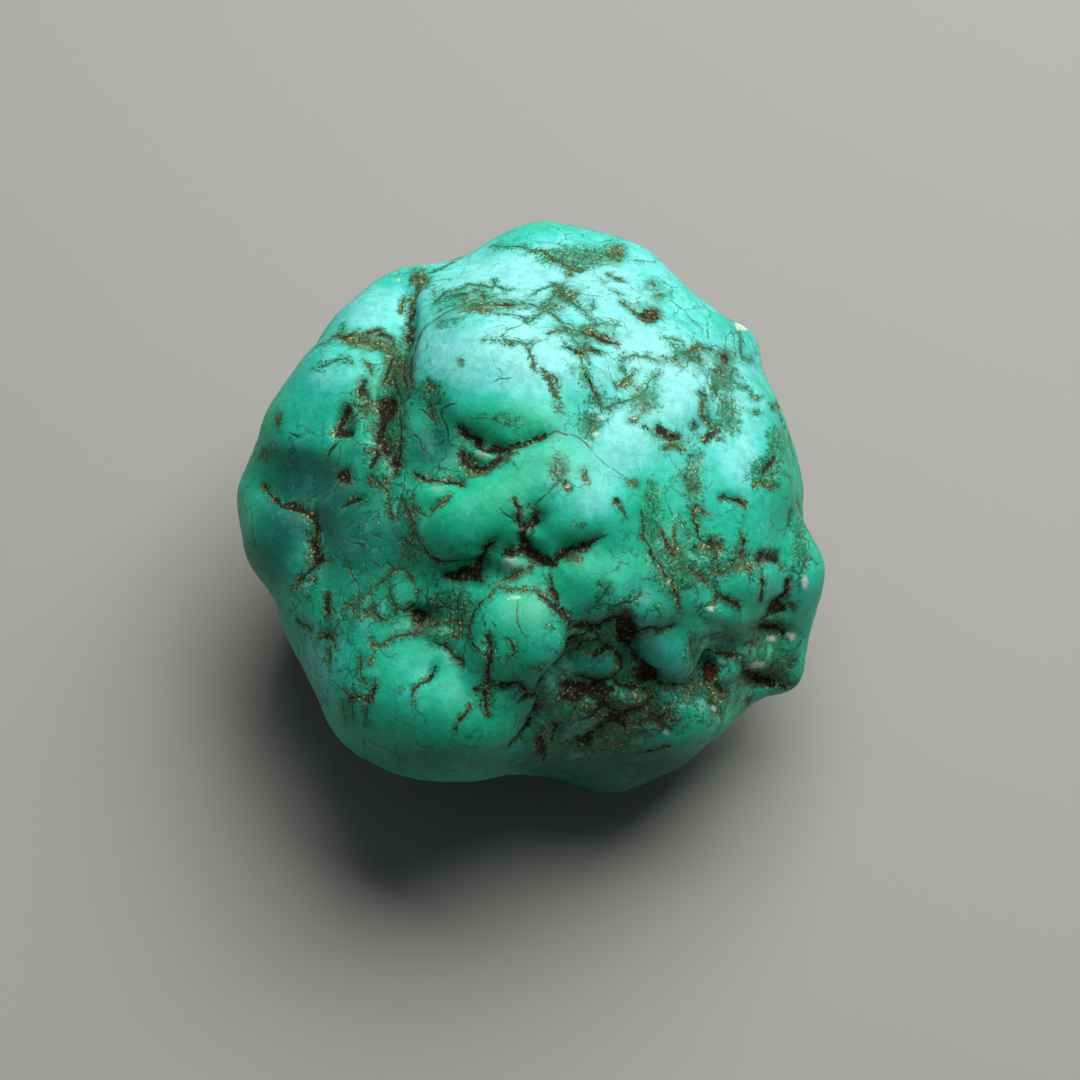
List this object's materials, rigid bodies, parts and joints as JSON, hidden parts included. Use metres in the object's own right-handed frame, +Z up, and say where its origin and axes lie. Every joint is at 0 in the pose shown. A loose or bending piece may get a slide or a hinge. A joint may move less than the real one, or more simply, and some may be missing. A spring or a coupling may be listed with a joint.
{
  "type": "raw turquoise nugget",
  "caption": "Rounded, lobed turquoise nugget with deep folds and brown and ochre matrix veins, resting on a small worn flat.",
  "frame": {"origin": "on the surface that the stone rests on, under the middle of its bounding box", "axes": "+Z up; +Y away from the display face, along the stone's longest side; +X to the right as the display face is seen"},
  "size_m": [0.0586, 0.0618, 0.0423],
  "materials": {
    "turquoise": "waxy tumbled polish with dark, dull matrix veins in the folds"
  },
  "bodies": {
    "root": {"nugget": "turquoise"}
  },
  "joints": []
}
